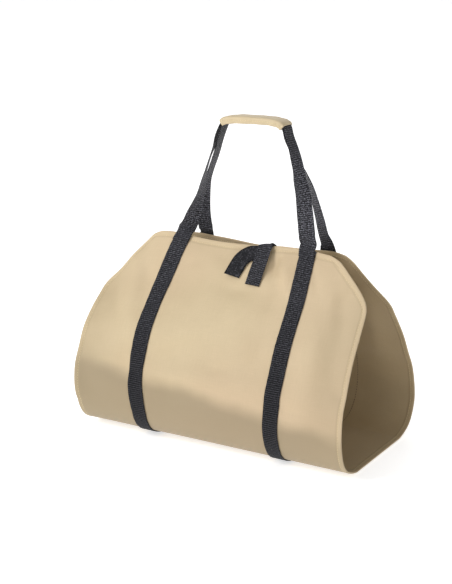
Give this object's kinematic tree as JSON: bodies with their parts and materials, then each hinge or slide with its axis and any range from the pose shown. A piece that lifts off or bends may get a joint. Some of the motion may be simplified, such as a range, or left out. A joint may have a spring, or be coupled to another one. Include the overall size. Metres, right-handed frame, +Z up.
{
  "type": "firewood_bag",
  "caption": "Open-ended firewood carrier bag in tan coated cloth, standing filled, with black webbing straps, twin handle loops in a cloth grip and closure tabs",
  "frame": {"origin": "on the floor under the middle of the bag's bounding box", "axes": "+X runs along the bag's length from its left end to its right end, +Y points from the front panel to the back panel, +Z is up"},
  "size_m": [0.4772, 0.3086, 0.5058],
  "materials": {
    "sheet_cloth": "tan coated woven polyester, slight sheen",
    "webbing": "black ribbed webbing, matt",
    "grip_cloth": "tan coated woven polyester, slight sheen",
    "closure_tape": "black hook and loop tape, matt"
  },
  "bodies": {
    "root": {"cloth_sheet": "sheet_cloth", "strap_left": "webbing", "strap_right": "webbing", "handle_front": "webbing", "handle_back": "webbing", "grip_wrap": "grip_cloth", "closure_tab_front": "closure_tape", "closure_tab_curled": "closure_tape"}
  },
  "joints": []
}
